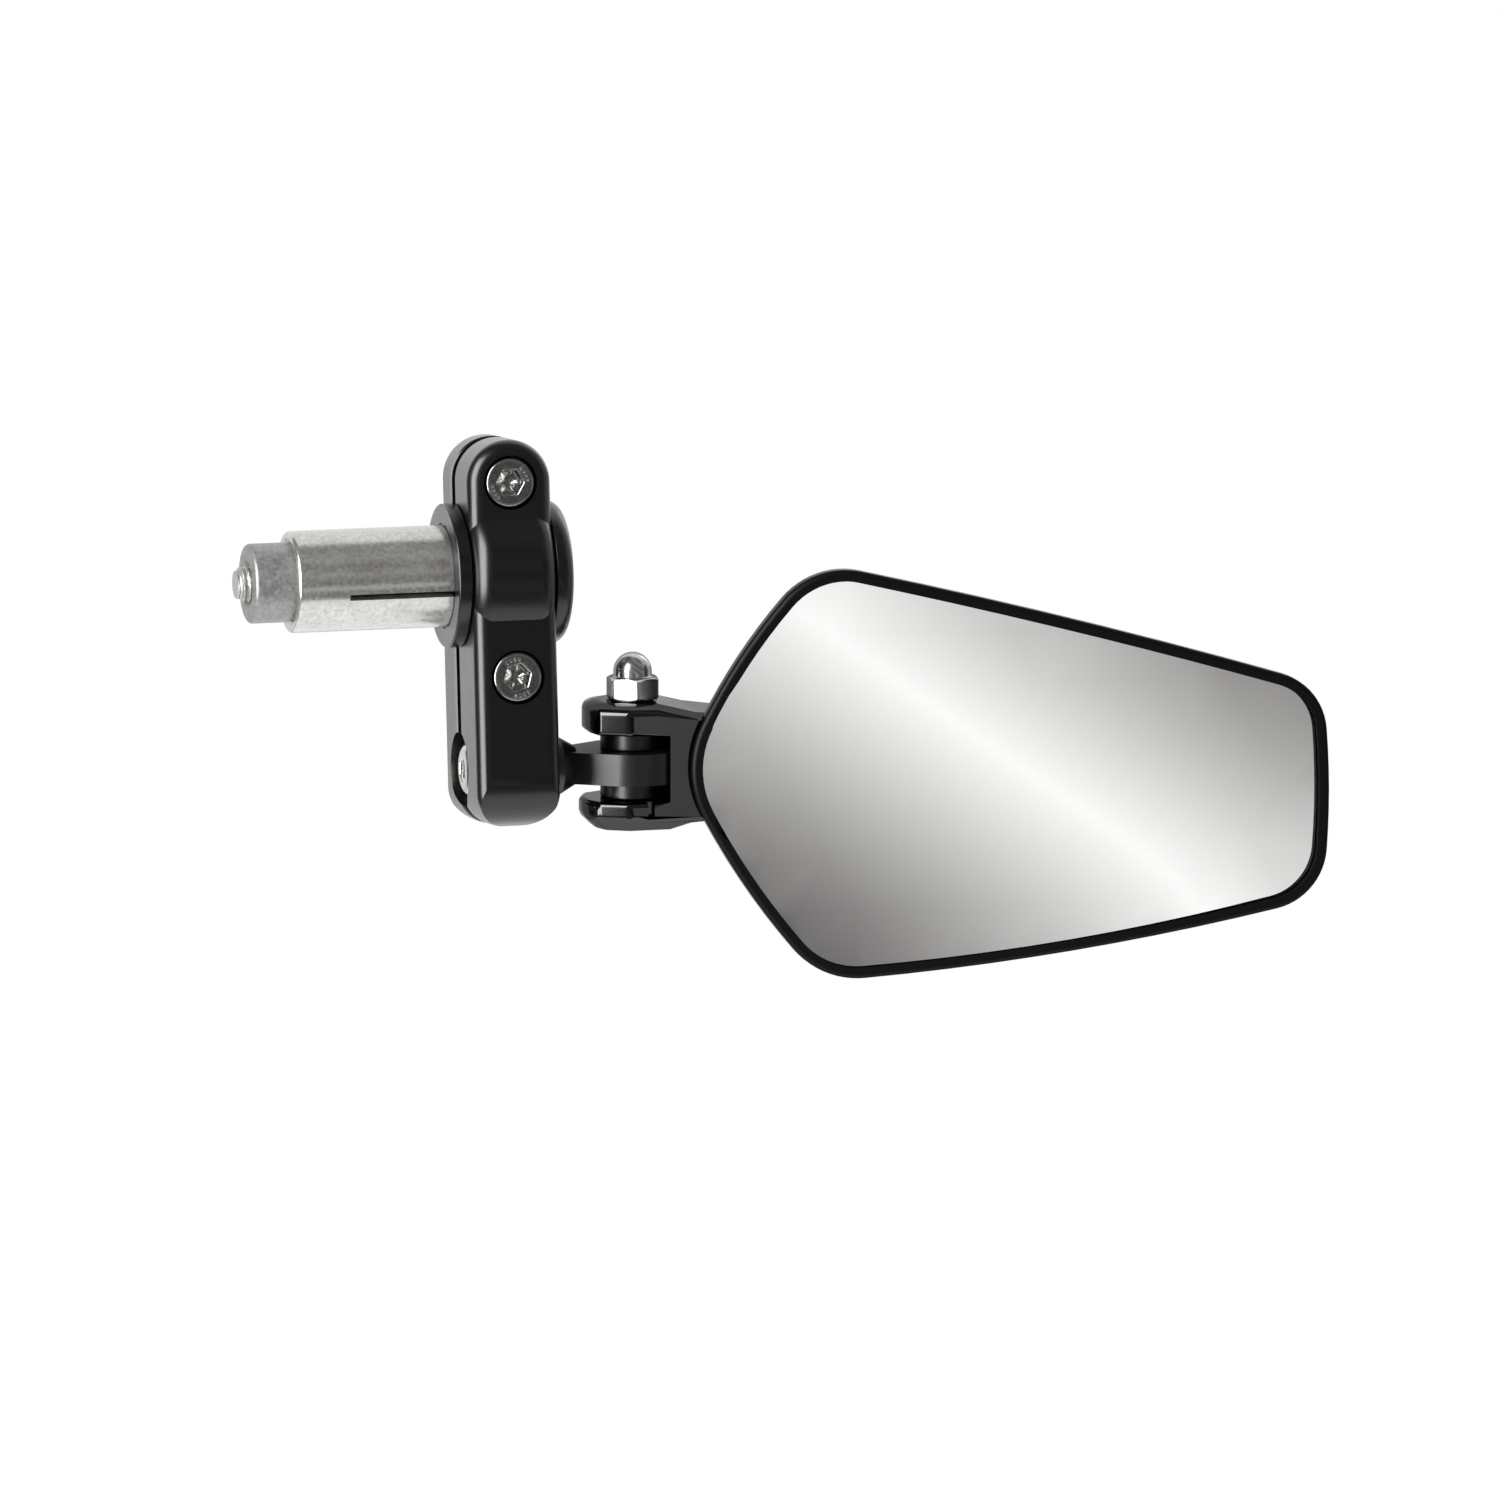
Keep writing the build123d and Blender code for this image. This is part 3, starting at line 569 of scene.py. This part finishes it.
# Bolts and washers: satin from the lathe; button screw: bright; clamp screws: darker; domed nut: plated
satin = steel("turned_steel", "#bcbbb8", "#ffffff", rough=0.46, spread=0.06, grit=0.5)
bright = steel("stainless_steel", "#d2d2cf", "#ffffff", rough=0.17, spread=0.04, grit=0.4)
cap_steel = steel("plated_screw_steel", "#a9a9a7", "#ffffff", rough=0.2, spread=0.05, grit=0.4)
nickel = steel("nickel_plate", "#d0d0ce", "#707070", rough=0.22, spread=0.03, grit=1.5)

# Mirror: a clean silver; bush: plain bronze; pad: matt black foam
silver = silvered_glass("silvered_glass", "#fcfcfb", clean=0.006, hazy=0.02)
bronze = hidden_filler("bronze", "#8a6a3c", rough=0.4)
foam = hidden_filler("foam_tape", "#161616", rough=0.8)


# The part

for node, material in (
        ("plug_washer", satin),
        ("swivel_washer", satin),
        ("upper_spacer", arm_black),
        ("lower_spacer", arm_black),
        ("hinge_spring_washer", satin),
        ("hinge_bush", bronze),
        ("mirror_glass", silver),
        ("glass_pad", foam)):
    dress(node, material)

for node, body, material, slot in (
        ("clamp_front", "clamp", clamp_black, "black_anodised"),
        ("clamp_rear", "clamp", clamp_black, "black_anodised"),
        ("swivel_arm", "arm", arm_black, "black_anodised"),
        ("mirror_housing", "head", shell_black, "black_anodised"),
        ("spool", "bar_plug", clamp_black, "black_anodised"),
        ("expander_sleeve", "bar_plug", zinc, "dull_zinc"),
        ("wedge_nut", "wedge_nut", wedge_zinc, "satin_steel")):
    finish_piece(eased_copy(node), body, material, node)

plug_screw = socket_screw(
    "plug_screw", frame_of(PLUG_SEAT, axis=(1, 0, 0), side=(0, 1, 0)),
    shank=6.0, length=48.98, head=10.0, depth=6.0, crown=0.6, socket=5.0, sunk=3.0, thread=(1.0, 12.0))
finish_piece(plug_screw, "plug_bolt", satin, "plug_bolt")

# Seats of the clamp screws along and up the leaning clamp, their lengths, and how far each was turned
lean_along, lean_up = math.sin(LEAN), math.cos(LEAN)
for name, seat, tall, length, turned in (
        ("upper", -5.1, 15.7, 14.1, math.radians(30.0)),
        ("lower", -7.0, -16.6, 16.0, math.radians(105.0))):
    seat_at = (CLAMP_MIDDLE, seat * lean_up + tall * lean_along, tall * lean_up - seat * lean_along)
    place = frame_of(seat_at, axis=(0, -lean_up, lean_along), side=(math.cos(turned), 0, math.sin(turned)))
    clamp_screw = socket_screw(
        "clamp_cap_screw_" + name, place,
        shank=5.0, length=length, head=8.5, depth=5.0, crown=0.7, socket=4.0, sunk=2.6, marks=TICKS)
    finish_piece(clamp_screw, "clamp", cap_steel, "clamp_screw_" + name)

swivel_screw = socket_screw(
    "swivel_button_screw", frame_of(SWIVEL + (5.55, 0, 0), axis=(-1, 0, 0), side=(0, 1, 0)),
    shank=5.0, length=11.0, head=9.5, depth=2.75, crown=2.0, socket=3.6, sunk=1.6)
finish_piece(swivel_screw, "arm", bright, "swivel_bolt")

hinge_screw = socket_screw(
    "hinge_screw", frame_of(HINGE + (0, 0, -8.1), axis=(0, 0, -1), side=(1, 0, 0)),
    shank=5.0, length=24.7, head=8.5, depth=2.6, crown=0.4, socket=3.0, sunk=1.4)
finish_piece(hinge_screw, "head", satin, "hinge_bolt")

hinge_nut = dome_nut(
    "dome_nut", frame_of(HINGE + (0, 0, 10.8), axis=(0, 0, 1), side=(1, 0, 0)),
    across_flats=8.0, tall=3.8, dome=3.2, straight=0.85, turn=math.radians(58.6))
finish_piece(hinge_nut, "head", nickel, "acorn_nut")
